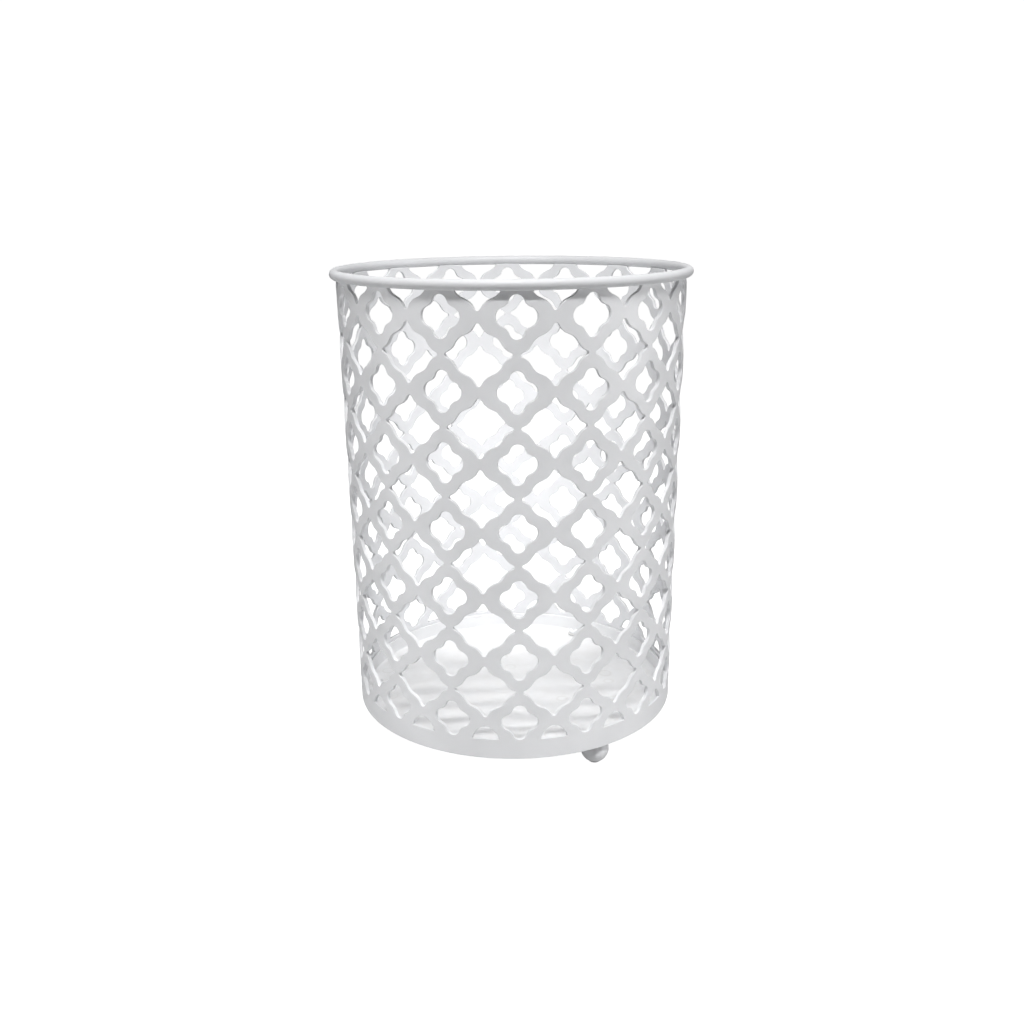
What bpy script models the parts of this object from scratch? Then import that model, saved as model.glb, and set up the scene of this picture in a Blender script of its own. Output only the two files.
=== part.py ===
"""Openwork metal umbrella stand.

A sheet pierced into rows of quatrefoil rings is rolled into a round shell. A wire ring is
welded on its top edge, a shallow drip pan closes the bottom, and three ball feet are screwed
on under the pan. Units are metres, +Z is up, and the origin is on the ground below the
centre of the shell. Angles round the stand are measured from the front, which faces -Y,
towards +X.
"""
import math

import bmesh
import bpy
from mathutils import Vector

MM = 0.001

# The rolled lattice sheet.
SHELL_RADIUS = 145.0 * MM       # outside of the sheet
SHEET = 3.2 * MM                # thickness of the sheet
COLUMNS = 16                    # rings round the shell
ROWS = 7                        # rings from the band to the rim
ROW_PITCH = 53.9 * MM           # height of one row of rings
BAND_HEIGHT = 18.0 * MM         # plain margin below the rings

# One ring of the lattice. Its cell is one column wide and one row high.
SIDE_STRIP = 13.2 * MM          # metal beside the hole, from the hole to the cell's side
TOP_STRIP = 11.25 * MM          # metal above and below the hole
SIDE_LOBE_FLAT = 7.0 * MM       # blunt end of the hole's left and right lobes
TOP_LOBE_FLAT = 6.0 * MM        # blunt end of the hole's upper and lower lobes
HOLE_NOTCH = (20.9 * MM, 18.6 * MM)    # bump between two lobes, from the cell's corner
RING_NOTCH = (14.7 * MM, 11.4 * MM)    # dent in the ring's outside, from the cell's corner
SIDE_NECK = 8.6 * MM            # height of the neck that joins two rings side by side
TOP_NECK = 5.8 * MM             # width of the neck that joins a ring to the one above

# Where the lattice ends, at the rim and at the band.
TOP_TAB = 22.8 * MM             # width of each ring's top where the rim is welded on
TAB_MARGIN = 2.3 * MM           # metal between the highest holes and the ends of the tabs
ARCH_WIDTH = 23.0 * MM          # small arch between two rings, where it meets the band
ARCH_SHOULDER = (8.3 * MM, 9.8 * MM)   # side of that arch, from the cell's side and the centre

# The rim, a round wire bent into a ring.
RIM_WIRE = 8.0 * MM             # wire diameter
RIM_STANDOUT = 1.0 * MM         # centre of the wire outside the shell's face

# The drip pan inside the band.
PAN_SHEET = 1.5 * MM            # thickness of the pan
PAN_FLANGE = 15.0 * MM          # height of its upturned edge
PAN_BEND = 2.5 * MM             # outer radius of the bend

# Three ball feet, each with a screw from inside the pan, a sealing washer and a pad.
FEET = 3
FIRST_FOOT_ANGLE = 30.0         # degrees from the front
FOOT_INSET = 14.5 * MM          # from the shell's outside in to the centres of the feet
BALL = 24.0 * MM                # ball diameter
BALL_SEAT = 17.0 * MM           # flat on the top of each ball, under the pan
BALL_SOLE = 11.0 * MM           # flat on the bottom of each ball, on the pad
SCREW = 5.0 * MM                # screw thread diameter
SCREW_REACH = 10.0 * MM         # length of thread inside the ball
SCREW_HEAD = 9.5 * MM           # head diameter
SCREW_HEAD_HEIGHT = 3.2 * MM
SCREW_POINT = 0.75 * MM         # chamfer at the tip of the screw
HEAD_SHOULDER = (0.40, 0.75, 0.85)      # the head's dome starts at this share of its height,
                                # and is flat inside this share of its radius, at this height
WASHER = 12.0 * MM              # sealing washer, outside diameter
WASHER_THICKNESS = 1.2 * MM
PAD = 9.6 * MM                  # pad diameter
PAD_THICKNESS = 1.0 * MM
PAD_EDGE = 0.4 * MM             # chamfer round the pad's sole

# Clearances.
GAP = 0.3 * MM                  # between pieces that touch
PAN_GAP = 0.4 * MM              # between the pan and the shell
TAP_DEPTH_SPARE = 1.5 * MM      # tapped hole past the screw's end

# Facets of the round pieces.
RIM_SEGMENTS = 64
WIRE_SEGMENTS = 8
PAN_SEGMENTS = 80
BEND_STEPS = 3
BALL_SEGMENTS = 16
BALL_STEPS = 7
SMALL_SEGMENTS = 12
SHARP_ANGLE = math.radians(35)
BOTTOM_SIDE = 8                 # side of a ring's twelve-sided outline that faces down

# How close two points of one mesh may be before they become one.
SAME_POINT = 0.001 * MM         # in a turned piece
SAME_NECK = 0.01 * MM           # where neighbouring rings of the lattice meet

# Sizes that follow from the ones above.
FOOT_CIRCLE = SHELL_RADIUS - FOOT_INSET
BALL_ABOVE = math.sqrt((BALL / 2) ** 2 - (BALL_SEAT / 2) ** 2)     # from the ball's centre up
BALL_BELOW = math.sqrt((BALL / 2) ** 2 - (BALL_SOLE / 2) ** 2)     # and down
BALL_Z = PAD_THICKNESS + GAP + BALL_BELOW
BASE_Z = BALL_Z + BALL_ABOVE + GAP
PAN_FLOOR_Z = BASE_Z + PAN_SHEET
BAND_TOP_Z = BASE_Z + BAND_HEIGHT
HOLE_HALF_HEIGHT = ROW_PITCH / 2 - TOP_STRIP
FIRST_ROW_Z = BAND_TOP_Z + HOLE_HALF_HEIGHT
SHELL_TOP_Z = FIRST_ROW_Z + (ROWS - 1) * ROW_PITCH + HOLE_HALF_HEIGHT + TAB_MARGIN
RIM_Z = SHELL_TOP_Z + GAP + RIM_WIRE / 2


def clear_scene():
    for old in list(bpy.data.objects):
        bpy.data.objects.remove(old, do_unlink=True)


def material(name, colour, roughness, metallic):
    """Return a new Principled material."""
    made = bpy.data.materials.new(name)
    made.use_nodes = True
    shader = made.node_tree.nodes["Principled BSDF"]
    shader.inputs["Base Color"].default_value = (*colour, 1.0)
    shader.inputs["Roughness"].default_value = roughness
    shader.inputs["Metallic"].default_value = metallic
    return made


def add_object(name, mesh, finish, parent, location=(0.0, 0.0, 0.0)):
    """Link a mesh into the scene as one sub-part."""
    if not mesh.materials:
        mesh.materials.append(finish)
    piece = bpy.data.objects.new(name, mesh)
    piece.location = location
    piece.parent = parent
    bpy.context.scene.collection.objects.link(piece)
    return piece


def finish_mesh(name, bm):
    """Turn a bmesh into a smooth-shaded mesh with sharp edges kept."""
    bmesh.ops.recalc_face_normals(bm, faces=bm.faces)
    mesh = bpy.data.meshes.new(name)
    bm.to_mesh(mesh)
    bm.free()
    mesh.shade_smooth()
    mesh.set_sharp_from_angle(angle=SHARP_ANGLE)
    return mesh


def turned_mesh(name, profile, segments):
    """Spin a closed profile of (radius, height) points about the Z axis."""
    bm = bmesh.new()
    points = [bm.verts.new((radius, 0.0, height)) for radius, height in profile]
    edges = [bm.edges.new((a, b)) for a, b in zip(points, points[1:])]
    if profile[0][0] > 0.0:
        edges.append(bm.edges.new((points[-1], points[0])))
    bmesh.ops.spin(
        bm, geom=points + edges, cent=(0, 0, 0), axis=(0, 0, 1),
        angle=math.tau, steps=segments, use_merge=True,
    )
    bmesh.ops.remove_doubles(bm, verts=bm.verts, dist=SAME_POINT)
    return finish_mesh(name, bm)


def arc(centre, radius, start, end, steps):
    """Return points on an arc of (radius, height) points; angles are in degrees."""
    points = []
    for step in range(steps + 1):
        angle = math.radians(start + (end - start) * step / steps)
        points.append((centre[0] + radius * math.cos(angle), centre[1] + radius * math.sin(angle)))
    return points


def around(radius, degrees, height):
    """Return the point at a radius and an angle from the front."""
    angle = math.radians(degrees)
    return Vector((radius * math.sin(angle), -radius * math.cos(angle), height))


# --- The lattice shell --------------------------------------------------------------------

def whole_outline(upper, lower):
    """Join an outline, anticlockwise from the right, out of its two right-hand quadrants.

    Each quadrant lists its points from the side towards the top or the bottom, as if it were
    the upper one.
    """
    upper_left = [(-u, v) for u, v in reversed(upper)]
    lower_left = [(-u, -v) for u, v in lower]
    lower_right = [(u, -v) for u, v in reversed(lower)]
    return upper + upper_left + lower_left + lower_right


def hole_outline(half_width):
    """Return a ring's hole: four blunt lobes with a bump between each two."""
    quadrant = [
        (half_width - SIDE_STRIP, SIDE_LOBE_FLAT / 2),
        (half_width - HOLE_NOTCH[0], ROW_PITCH / 2 - HOLE_NOTCH[1]),
        (TOP_LOBE_FLAT / 2, HOLE_HALF_HEIGHT),
    ]
    return whole_outline(quadrant, quadrant)


def ring_outline(half_width, row):
    """Return a ring's outside, with one point for each point of its hole."""
    side_neck = (half_width, SIDE_NECK / 2)
    notch = (half_width - RING_NOTCH[0], ROW_PITCH / 2 - RING_NOTCH[1])
    end_neck = (TOP_NECK / 2, ROW_PITCH / 2)
    upper = [side_neck, notch, end_neck]
    lower = [side_neck, notch, end_neck]
    if row == ROWS - 1:
        upper[2] = (TOP_TAB / 2, SHELL_TOP_Z - row_height(row))
    if row == 0:
        lower[1] = (half_width - ARCH_SHOULDER[0], ARCH_SHOULDER[1])
        lower[2] = (half_width - ARCH_WIDTH / 2, HOLE_HALF_HEIGHT)
    return whole_outline(upper, lower)


def row_height(row):
    """Return the height of a row's centres; row 0 stands on the band."""
    return FIRST_ROW_Z + row * ROW_PITCH


def rolled(column, u, height):
    """Wrap a flat point, u from its column's centre, round the shell's outside."""
    turn = 360.0 * column / COLUMNS + math.degrees(u / SHELL_RADIUS)
    return around(SHELL_RADIUS, turn, height)


def add_ring(bm, column, row, half_width):
    """Fill the metal between a ring's hole and its outside with quads."""
    centre = row_height(row)
    inner = [bm.verts.new(rolled(column, u, centre + v)) for u, v in hole_outline(half_width)]
    outer = [bm.verts.new(rolled(column, u, centre + v)) for u, v in ring_outline(half_width, row)]
    count = len(inner)
    for i in range(count):
        j = (i + 1) % count
        if row == 0 and i == BOTTOM_SIDE:
            continue            # below the lowest holes the band begins at once
        bm.faces.new((inner[i], outer[i], outer[j], inner[j]))


def add_band(bm, column, half_width):
    """Add one column's share of the plain band, from arch centre to arch centre."""
    foot = half_width - ARCH_WIDTH / 2
    lobe = TOP_LOBE_FLAT / 2
    stops = [-half_width, -foot, -lobe, lobe, foot, half_width]
    low = [bm.verts.new(rolled(column, u, BASE_Z)) for u in stops]
    high = [bm.verts.new(rolled(column, u, BAND_TOP_Z)) for u in stops]
    for i in range(len(stops) - 1):
        bm.faces.new((low[i], low[i + 1], high[i + 1], high[i]))


def make_shell(finish, parent):
    half_width = math.pi * SHELL_RADIUS / COLUMNS
    bm = bmesh.new()
    for column in range(COLUMNS):
        add_band(bm, column, half_width)
        for row in range(ROWS):
            add_ring(bm, column, row, half_width)
    bmesh.ops.remove_doubles(bm, verts=bm.verts, dist=SAME_NECK)
    shell = add_object("lattice_shell", finish_mesh("lattice_shell", bm), finish, parent)
    thicken = shell.modifiers.new("sheet thickness", "SOLIDIFY")
    thicken.thickness = SHEET
    thicken.offset = -1.0
    thicken.use_even_offset = True
    return shell


# --- Rim and pan --------------------------------------------------------------------------

def make_rim(finish, parent):
    centre = (SHELL_RADIUS + RIM_STANDOUT, 0.0)
    profile = arc(centre, RIM_WIRE / 2, 0, 360, WIRE_SEGMENTS)[:-1]
    mesh = turned_mesh("rim_ring", profile, RIM_SEGMENTS)
    return add_object("rim_ring", mesh, finish, parent, (0.0, 0.0, RIM_Z))


def pan_profile():
    """Return the section of the pan: floor, bend and upturned flange, from its underside up."""
    outside = SHELL_RADIUS - SHEET - PAN_GAP
    bend_centre = (outside - PAN_BEND, PAN_BEND)
    underside = [(0.0, 0.0)] + arc(bend_centre, PAN_BEND, -90, 0, BEND_STEPS)
    top = [(outside, PAN_FLANGE), (outside - PAN_SHEET, PAN_FLANGE)]
    inside = arc(bend_centre, PAN_BEND - PAN_SHEET, 0, -90, BEND_STEPS)
    return underside + top + inside + [(0.0, PAN_SHEET)]


def make_cutter(name, radius, location):
    """Return a cylinder that cuts a screw hole and is left out of the model."""
    reach = 2 * PAN_SHEET
    profile = [(0.0, -reach), (radius, -reach), (radius, reach), (0.0, reach)]
    cutter = bpy.data.objects.new(name, turned_mesh(name, profile, SMALL_SEGMENTS))
    cutter.location = location
    cutter.hide_render = True
    cutter.display_type = "WIRE"
    bpy.context.scene.collection.objects.link(cutter)
    return cutter


def make_pan(finish, parent):
    mesh = turned_mesh("base_pan", pan_profile(), PAN_SEGMENTS)
    pan = add_object("base_pan", mesh, finish, parent, (0.0, 0.0, BASE_Z))
    for number, place in foot_places():
        centre = place + Vector((0.0, 0.0, BASE_Z))
        cutter = make_cutter(f"screw_hole_{number}", SCREW / 2 + GAP, centre)
        cut = pan.modifiers.new(f"screw hole {number}", "BOOLEAN")
        cut.operation = "DIFFERENCE"
        cut.solver = "EXACT"
        cut.object = cutter
    return pan


# --- Feet ---------------------------------------------------------------------------------

def foot_places():
    """Return the number and the ground point of each foot."""
    places = []
    for index in range(FEET):
        degrees = FIRST_FOOT_ANGLE + 360.0 * index / FEET
        places.append((index + 1, around(FOOT_CIRCLE, degrees, 0.0)))
    return places


def ball_profile():
    """Return a ball with a flat top and bottom and a tapped hole from above."""
    sole_angle = math.degrees(math.asin(BALL_BELOW / (BALL / 2)))
    seat_angle = math.degrees(math.asin(BALL_ABOVE / (BALL / 2)))
    hole_radius = SCREW / 2 + GAP
    hole_bottom = BALL_ABOVE - SCREW_REACH - TAP_DEPTH_SPARE
    side = arc((0.0, 0.0), BALL / 2, -sole_angle, seat_angle, BALL_STEPS)
    tapped_hole = [(hole_radius, BALL_ABOVE), (hole_radius, hole_bottom), (0.0, hole_bottom)]
    return [(0.0, -BALL_BELOW)] + side + tapped_hole


def screw_profile():
    """Return a pan-head screw, with height 0 under its head."""
    radius = SCREW / 2
    length = SCREW_REACH + 3 * GAP + PAN_SHEET + WASHER_THICKNESS
    head = SCREW_HEAD / 2
    edge_height, flat_radius, flat_height = HEAD_SHOULDER
    return [
        (0.0, -length),
        (radius - SCREW_POINT, -length),
        (radius, SCREW_POINT - length),
        (radius, 0.0),
        (head, 0.0),
        (head, edge_height * SCREW_HEAD_HEIGHT),
        (flat_radius * head, flat_height * SCREW_HEAD_HEIGHT),
        (0.0, SCREW_HEAD_HEIGHT),
    ]


def washer_profile():
    """Return a flat ring, with height 0 at its underside."""
    hole = SCREW / 2 + GAP
    edge = WASHER / 2
    return [(hole, 0.0), (edge, 0.0), (edge, WASHER_THICKNESS), (hole, WASHER_THICKNESS)]


def pad_profile():
    """Return a disc with a chamfered sole, with height 0 on the ground."""
    sole = PAD / 2 - PAD_EDGE
    edge = PAD / 2
    return [(0.0, 0.0), (sole, 0.0), (edge, PAD_EDGE), (edge, PAD_THICKNESS), (0.0, PAD_THICKNESS)]


def make_feet(paint, enamel, seal_rubber, pad_rubber, parent):
    washer_z = PAN_FLOOR_Z + GAP
    screw_z = washer_z + WASHER_THICKNESS + GAP
    kinds = [
        ("ball_foot", ball_profile(), BALL_SEGMENTS, BALL_Z, paint),
        ("foot_screw", screw_profile(), SMALL_SEGMENTS, screw_z, enamel),
        ("sealing_washer", washer_profile(), SMALL_SEGMENTS, washer_z, seal_rubber),
        ("foot_pad", pad_profile(), BALL_SEGMENTS, 0.0, pad_rubber),
    ]
    for name, profile, segments, height, finish in kinds:
        mesh = turned_mesh(name, profile, segments)
        for number, place in foot_places():
            centre = place + Vector((0.0, 0.0, height))
            add_object(f"{name}_{number}", mesh, finish, parent, centre)


def main():
    clear_scene()
    white_paint = material("white powder coat", (0.80, 0.81, 0.82), 0.45, 0.0)
    screw_paint = material("white screw enamel", (0.79, 0.80, 0.81), 0.35, 0.0)
    white_rubber = material("white rubber", (0.70, 0.70, 0.69), 0.7, 0.0)
    pale_rubber = material("pale rubber", (0.62, 0.62, 0.61), 0.8, 0.0)
    stand = bpy.data.objects.new("umbrella_stand", None)
    bpy.context.scene.collection.objects.link(stand)
    make_shell(white_paint, stand)
    make_rim(white_paint, stand)
    make_pan(white_paint, stand)
    make_feet(white_paint, screw_paint, white_rubber, pale_rubber, stand)


main()
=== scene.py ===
# %% [markdown]
# # An openwork umbrella stand in white powder-coated steel
# The real stand is a sheet of steel, pierced into rows of four-lobed rings and rolled into a
# round shell. A wire ring is welded on top, a shallow drip pan closes the bottom, and three
# ball feet are screwed on under it. A coarse CAD model already fixes where every piece is and
# how large it may be. Each cell below builds one piece again in fine detail, in that place.

# %% Load the frame
import math

import bmesh
import bpy
from mathutils import Matrix, Vector


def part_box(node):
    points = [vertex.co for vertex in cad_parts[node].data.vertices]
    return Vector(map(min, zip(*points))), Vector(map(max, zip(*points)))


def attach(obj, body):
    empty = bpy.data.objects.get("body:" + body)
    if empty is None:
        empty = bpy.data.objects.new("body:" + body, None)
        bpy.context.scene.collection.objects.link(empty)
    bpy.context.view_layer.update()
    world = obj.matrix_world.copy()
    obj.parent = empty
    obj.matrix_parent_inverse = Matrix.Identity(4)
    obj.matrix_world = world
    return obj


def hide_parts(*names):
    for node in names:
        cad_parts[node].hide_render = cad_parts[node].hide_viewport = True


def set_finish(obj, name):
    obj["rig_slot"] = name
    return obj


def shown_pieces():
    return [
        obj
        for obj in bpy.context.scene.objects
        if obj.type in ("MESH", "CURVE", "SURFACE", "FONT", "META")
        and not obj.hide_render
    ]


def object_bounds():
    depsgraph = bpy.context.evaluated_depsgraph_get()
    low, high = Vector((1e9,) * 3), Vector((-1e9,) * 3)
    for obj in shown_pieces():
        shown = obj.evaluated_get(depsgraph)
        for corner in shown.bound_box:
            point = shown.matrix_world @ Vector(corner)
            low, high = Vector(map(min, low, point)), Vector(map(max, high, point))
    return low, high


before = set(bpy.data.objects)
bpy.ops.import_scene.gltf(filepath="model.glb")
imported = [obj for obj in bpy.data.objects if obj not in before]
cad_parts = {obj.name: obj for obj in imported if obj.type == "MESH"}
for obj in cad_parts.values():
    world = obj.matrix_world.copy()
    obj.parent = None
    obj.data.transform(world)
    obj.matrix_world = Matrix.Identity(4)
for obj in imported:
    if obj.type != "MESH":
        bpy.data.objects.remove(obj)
CAD_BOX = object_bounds()
MM = 0.001
print("CAD nodes:", ", ".join(sorted(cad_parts)))

# %% [markdown]
# ## Sizes taken from the frame
# A fine piece has to sit exactly where its coarse CAD piece sits, so heights and radii are read
# from the boxes of the CAD nodes. The shell's box is a little small, because a faceted cylinder
# seldom has a corner on each axis, so its radius comes from its own vertices.

# %% Measure the CAD pieces
SHELL_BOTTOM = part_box("lattice_shell")[0].z
RIM_LOW, RIM_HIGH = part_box("rim_ring")
PAN_LOW, PAN_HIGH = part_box("base_pan")
WIRE_RADIUS = (RIM_HIGH.z - RIM_LOW.z) / 2
RIM_Z = (RIM_HIGH.z + RIM_LOW.z) / 2
RIM_RADIUS = RIM_HIGH.x - WIRE_RADIUS
PAN_RADIUS = PAN_HIGH.x
SHELL_RADIUS = max(v.co.xy.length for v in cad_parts["lattice_shell"].data.vertices)
print(f"shell radius {SHELL_RADIUS / MM:.2f} mm")
print(f"rim wire {2 * WIRE_RADIUS / MM:.1f} mm thick, {RIM_Z / MM:.1f} mm above the ground")

# %% [markdown]
# ## Three helpers that every piece uses
# `object_from` turns a bmesh into an object. `new_piece` makes a piece of the stand of it: it
# shades it smooth but keeps its sharp edges, lets it ride on the one CAD body, says which record
# finish it wears, and hides the CAD node it stands for. `fine_mesh` applies the modifiers, so that
# the shape that shows is plain geometry.

# %% Piece helpers
SHARP_ANGLE = math.radians(38)


def object_from(name, bm):
    """Make an object from a bmesh and put it in the scene."""
    mesh = bpy.data.meshes.new(name)
    bm.to_mesh(mesh)
    bm.free()
    made = bpy.data.objects.new(name, mesh)
    bpy.context.scene.collection.objects.link(made)
    return made


def new_piece(name, bm, finish, stands_for=None):
    """Make a piece of the stand from a bmesh."""
    piece = object_from(name, bm)
    piece.data.shade_smooth()
    piece.data.set_sharp_from_angle(angle=SHARP_ANGLE)
    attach(piece, "root")
    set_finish(piece, finish)
    if stands_for:
        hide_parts(stands_for)
    print(f"{name}: {len(piece.data.polygons)} faces")
    return piece


def fine_mesh(piece):
    """Apply all modifiers of a piece."""
    evaluated = piece.evaluated_get(bpy.context.evaluated_depsgraph_get())
    mesh = bpy.data.meshes.new_from_object(evaluated)
    piece.modifiers.clear()
    piece.data = mesh
    print(f"{piece.name}: {len(mesh.polygons)} faces when applied")


# %% [markdown]
# ## The outline of one lattice ring
# Each ring is a band of metal round a four-lobed hole, and both its edges are made of arcs that
# run smoothly into each other. Drawing only one quadrant is enough, because the ring is the same
# left and right, up and down. An arc that bridges two round lobes touches both of them, so its
# centre is where two larger circles cross: one round each lobe, grown by the bridge's radius.
# A Bezier drawn by eye would also do, but arcs keep the true radii of the cutting tool.

# %% Arcs and bridges
def arc(centre, radius, start, end, steps):
    """Points on an arc, both ends included; the angles are in radians."""
    turns = [start + (end - start) * step / steps for step in range(steps + 1)]
    return [(centre[0] + radius * math.cos(t), centre[1] + radius * math.sin(t)) for t in turns]


def heading(start, end):
    """Angle of the direction from one point to another."""
    return math.atan2(end[1] - start[1], end[0] - start[0])


def short_way(start, end):
    """The angle equal to end that lies within half a turn of start."""
    return start + math.remainder(end - start, math.tau)


def bridge_centre(side_lobe, side_radius, top_lobe, top_radius, bridge):
    """Centre of the arc that touches a side lobe and a top lobe from outside, to the upper right."""
    side, top = Vector((side_lobe, 0.0)), Vector((0.0, top_lobe))
    gap = (top - side).length
    reach_side, reach_top = side_radius + bridge, top_radius + bridge
    along = (reach_side ** 2 - reach_top ** 2 + gap ** 2) / (2 * gap)
    across = math.sqrt(reach_side ** 2 - along ** 2)
    line = (top - side) / gap
    return tuple(side + along * line + across * Vector((line.y, -line.x)))


# %% Outline of the hole
COLUMNS = 16
ROWS = 7
ROW_PITCH = 53.9 * MM
HALF_PITCH = ROW_PITCH / 2
HALF_COLUMN = math.pi * SHELL_RADIUS / COLUMNS
HOLE_SIDE_LOBE = (8.1 * MM, 7.2 * MM)       # distance of the lobe's centre, and its radius
HOLE_TOP_LOBE = (9.9 * MM, 5.8 * MM)
HOLE_BUMP = 7.0 * MM                        # radius of the bump between two lobes
LOBE_STEPS = 6
BRIDGE_STEPS = 4


def hole_quadrant():
    """A ring's hole, from its right-hand end to its top."""
    side, top = (HOLE_SIDE_LOBE[0], 0.0), (0.0, HOLE_TOP_LOBE[0])
    bump = bridge_centre(*HOLE_SIDE_LOBE, *HOLE_TOP_LOBE, HOLE_BUMP)
    side_end, top_start = heading(side, bump), heading(top, bump)
    from_side = heading(bump, side)
    to_top = short_way(from_side, heading(bump, top))
    points = arc(side, HOLE_SIDE_LOBE[1], 0.0, side_end, LOBE_STEPS)
    points += arc(bump, HOLE_BUMP, from_side, to_top, BRIDGE_STEPS)[1:]
    points += arc(top, HOLE_TOP_LOBE[1], top_start, math.pi / 2, LOBE_STEPS)[1:]
    return points


print(f"hole: {2 * hole_quadrant()[0][0] / MM:.1f} x {2 * hole_quadrant()[-1][1] / MM:.1f} mm")

# %% Outline of the ring's outside
RING_SIDE_LOBE = (14.2 * MM, 13.6 * MM)
RING_TOP_LOBE = (13.9 * MM, 12.2 * MM)
RING_DENT = 12.0 * MM                       # radius of the dent between two lobes
SIDE_FILLET = 2.0 * MM                      # where two rings side by side join
TOP_FILLET = 1.6 * MM                       # where a ring joins the one above
FILLET_STEPS = 2
SHORT_LOBE_STEPS = 3


def ring_quadrant():
    """A ring's outside, from the middle of its side neck to the middle of its top neck."""
    side, top = (RING_SIDE_LOBE[0], 0.0), (0.0, RING_TOP_LOBE[0])
    dent = bridge_centre(*RING_SIDE_LOBE, *RING_TOP_LOBE, RING_DENT)
    side_reach, top_reach = RING_SIDE_LOBE[1] + SIDE_FILLET, RING_TOP_LOBE[1] + TOP_FILLET
    side_rise = math.sqrt(side_reach ** 2 - (HALF_COLUMN - side[0]) ** 2)
    top_run = math.sqrt(top_reach ** 2 - (HALF_PITCH - top[1]) ** 2)
    side_fillet, top_fillet = (HALF_COLUMN, side_rise), (top_run, HALF_PITCH)
    from_side, from_top = heading(side_fillet, side), heading(top_fillet, top)
    dent_start = heading(dent, side)
    dent_end = short_way(dent_start, heading(dent, top))
    arcs = (
        (side_fillet, SIDE_FILLET, short_way(from_side, -math.pi / 2), from_side, FILLET_STEPS),
        (side, RING_SIDE_LOBE[1], heading(side, side_fillet), heading(side, dent), SHORT_LOBE_STEPS),
        (dent, RING_DENT, dent_start, dent_end, BRIDGE_STEPS),
        (top, RING_TOP_LOBE[1], heading(top, dent), heading(top, top_fillet), SHORT_LOBE_STEPS),
        (top_fillet, TOP_FILLET, from_top, short_way(from_top, math.pi), FILLET_STEPS),
    )
    points = [(HALF_COLUMN, 0.0), arc(*arcs[0])[0]]
    for numbers in arcs:
        points += arc(*numbers)[1:]
    return points + [(0.0, HALF_PITCH)]


print(f"points in a quadrant: hole {len(hole_quadrant())}, outside {len(ring_quadrant())}")

# %% [markdown]
# ## Where the lattice ends
# The top row is sheared off level, and its tabs run up into the wire ring. In the bottom row the
# holes stand on a plain band, and between each two of them there is a small dome-shaped arch.
# Both are the same quadrant with its last points moved, so that a hole point still has an
# outside point to pair with.

# %% Top and bottom rows
TAB_SINK = 3.3 * MM                         # the tabs end this far below the wire's centre
BAND_HEIGHT = 18.0 * MM
BAND_SHOULDER = 4.0 * MM                    # from the band's top to its first row of vertices
ARCH_HALF_WIDTH = 11.5 * MM
ARCH_TOP = 4.3 * MM                         # below the centres of the bottom row
ARCH_PULL = ((4.6 * MM, 4.3 * MM), (9.2 * MM, 8.6 * MM))   # inner control points of the dome
ARCH_STEPS = 7
HOLE_HALF_HEIGHT = hole_quadrant()[-1][1]
FIRST_ROW_Z = SHELL_BOTTOM + BAND_HEIGHT + HOLE_HALF_HEIGHT
TAB_TOP = RIM_Z - TAB_SINK - FIRST_ROW_Z - (ROWS - 1) * ROW_PITCH


def cut_level(outline, height):
    """Cut a quadrant off at a height and spread the points that are left along the cut."""
    below = [point for point in outline if point[1] < height]
    last, beyond = below[-1], outline[len(below)]
    share = (height - last[1]) / (beyond[1] - last[1])
    corner = last[0] + (beyond[0] - last[0]) * share
    spare = len(outline) - len(below) - 1
    return below + [(corner * (1 - i / spare), height) for i in range(spare + 1)]


def bezier(points, share):
    """A point on a cubic Bezier curve."""
    a, b, c, d = (Vector(point) for point in points)
    rest = 1 - share
    return rest ** 3 * a + 3 * rest ** 2 * share * b + 3 * rest * share ** 2 * c + share ** 3 * d


def band_quadrant():
    """The outside of a bottom ring, downwards: half an arch, then a line inside the band."""
    dome = [(0.0, ARCH_TOP), *ARCH_PULL, (ARCH_HALF_WIDTH, HOLE_HALF_HEIGHT)]
    points = [(HALF_COLUMN, 0.0)]
    for step in range(ARCH_STEPS + 1):
        out, down = bezier(dome, step / ARCH_STEPS)
        points.append((HALF_COLUMN - out, down))
    foot = HALF_COLUMN - ARCH_HALF_WIDTH
    spare = len(hole_quadrant()) - len(points)
    line = HOLE_HALF_HEIGHT + BAND_SHOULDER
    return points + [(foot * (1 - i / (spare - 1)), line) for i in range(spare)]


print(f"tabs end {TAB_TOP / MM:.1f} mm above the top row's centres")

# %% [markdown]
# ## The lattice shell
# The sheet is built flat as strips of quads between each hole and its ring's outside, and every
# point is wrapped round the cylinder as it is made. A boolean cut of over 200 openings out of a
# tube would give the same outline, but with long thin triangles that shade badly. Solidify then gives
# the sheet its thickness inwards, and Bevel rounds the cut edges, because powder never covers a
# sharp edge evenly. Hardened normals keep the faces between the bevels flat.

# %% Roll the sheet
SHEET = 3.2 * MM
ARCH_FLOOR_STEPS = 4
SAME_POINT = 0.01 * MM


def rolled(column, across, height):
    """Wrap a flat point round the shell; column 0 faces the front, -Y."""
    turn = math.tau * column / COLUMNS + across / SHELL_RADIUS
    return SHELL_RADIUS * math.sin(turn), -SHELL_RADIUS * math.cos(turn), height


def whole_loop(upper, lower):
    """Join two right-hand quadrants, both listed from the side to the end, into one loop."""
    upper_left = [(-u, v) for u, v in upper[-2::-1]]
    lower_left = [(-u, -v) for u, v in lower[1:]]
    lower_right = [(u, -v) for u, v in lower[-2:0:-1]]
    return upper + upper_left + lower_left + lower_right


def add_strip(bm, column, inner, outer, closed):
    """Fill quads between two rows of flat points."""
    rows = [[bm.verts.new(rolled(column, u, z)) for u, z in row] for row in (inner, outer)]
    count = len(inner)
    for i in range(count if closed else count - 1):
        j = (i + 1) % count
        bm.faces.new((rows[0][i], rows[1][i], rows[1][j], rows[0][j]))


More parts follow.
